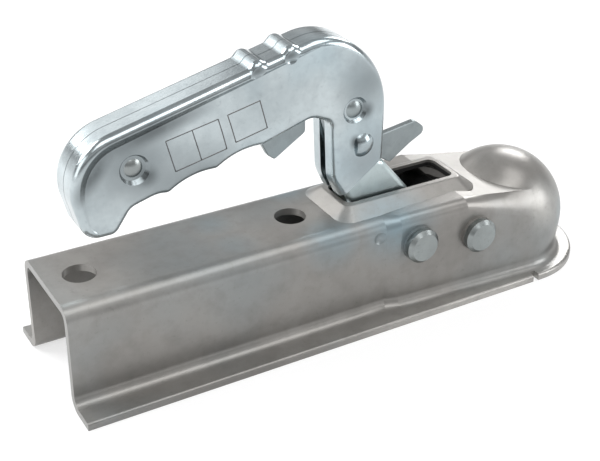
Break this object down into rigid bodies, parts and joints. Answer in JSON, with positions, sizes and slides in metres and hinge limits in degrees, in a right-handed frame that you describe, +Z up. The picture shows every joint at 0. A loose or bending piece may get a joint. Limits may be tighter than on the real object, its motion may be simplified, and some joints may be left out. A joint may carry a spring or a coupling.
{
  "type": "trailer_coupling_head",
  "caption": "Pressed zinc-plated trailer coupling head with pistol-grip locking handle, cam-closed jaw and open rear channel that bolts onto a drawbar",
  "frame": {"origin": "centre of the tow ball when it is seated in the socket", "axes": "+X forward to the towing vehicle, +Y left, +Z up; the drawbar runs along X"},
  "size_m": [0.2471, 0.0714, 0.1206],
  "materials": {
    "zinc_sheet": "zinc plated pressed sheet, matt with bluish patches",
    "handle_zinc": "bright bluish zinc plating",
    "lever_zinc": "zinc plated strip",
    "catch_zinc": "zinc plated flat plate",
    "bright_zinc": "turned, bright zinc",
    "dark_steel": "plain oiled steel",
    "spring_steel": "dark spring wire",
    "cast_jaw": "cast, machined on the ball face",
    "bronze_bush": "sintered bronze"
  },
  "bodies": {
    "coupling": {"housing": "zinc_sheet", "handle_pin": "bright_zinc", "handle_pin_washers": "bright_zinc", "handle_pin_spacers": "dark_steel", "jaw_pin": "bright_zinc", "jaw_pin_washers": "bright_zinc", "jaw_pin_spacers": "dark_steel", "spring_bracket": "dark_steel", "main_spring": "spring_steel"},
    "handle": {"handle_shell_right": "handle_zinc", "handle_shell_left": "handle_zinc", "grip_rivet": "bright_zinc", "grip_spacer": "dark_steel", "neck_rivet": "bright_zinc", "inner_lever": "lever_zinc", "lever_bush": "bronze_bush", "catch_pin": "dark_steel", "catch_spring": "spring_steel"},
    "catch": {"safety_catch": "catch_zinc", "catch_bush": "dark_steel"},
    "jaw": {"ball_jaw": "cast_jaw", "jaw_bush": "bronze_bush", "jaw_link_pin": "dark_steel"},
    "draw_rod": {"spring_rod": "dark_steel", "spring_washer": "bright_zinc", "rod_nut": "bright_zinc"}
  },
  "joints": [
    {"name": "handle_lift", "type": "hinge", "parent": "coupling", "child": "handle", "pos_m": [-0.06135, 0, 0.0114], "axis": [0, 1, 0], "range_deg": [0, 36]},
    {"name": "catch_squeeze", "type": "hinge", "parent": "handle", "child": "catch", "pos_m": [-0.0807, 0, 0.0538], "axis": [0, 1, 0], "range_deg": [0, 6], "stiffness_Nm_per_rad": 0.3, "springref_deg": -8.59},
    {"name": "jaw_swing", "type": "hinge", "parent": "coupling", "child": "jaw", "pos_m": [-0.0325, 0, 0.0089], "axis": [0, 1, 0], "range_deg": [0, 24]},
    {"name": "rod_slide", "type": "slide", "parent": "coupling", "child": "draw_rod", "axis": [-1, 0, 0], "range_m": [0, 0.0069]}
  ],
  "couplings": [
    {"joint": "jaw_swing", "follows": "handle_lift", "ratio": 0.6666},
    {"joint": "rod_slide", "follows": "handle_lift", "m_per_rad": 0.01088}
  ]
}
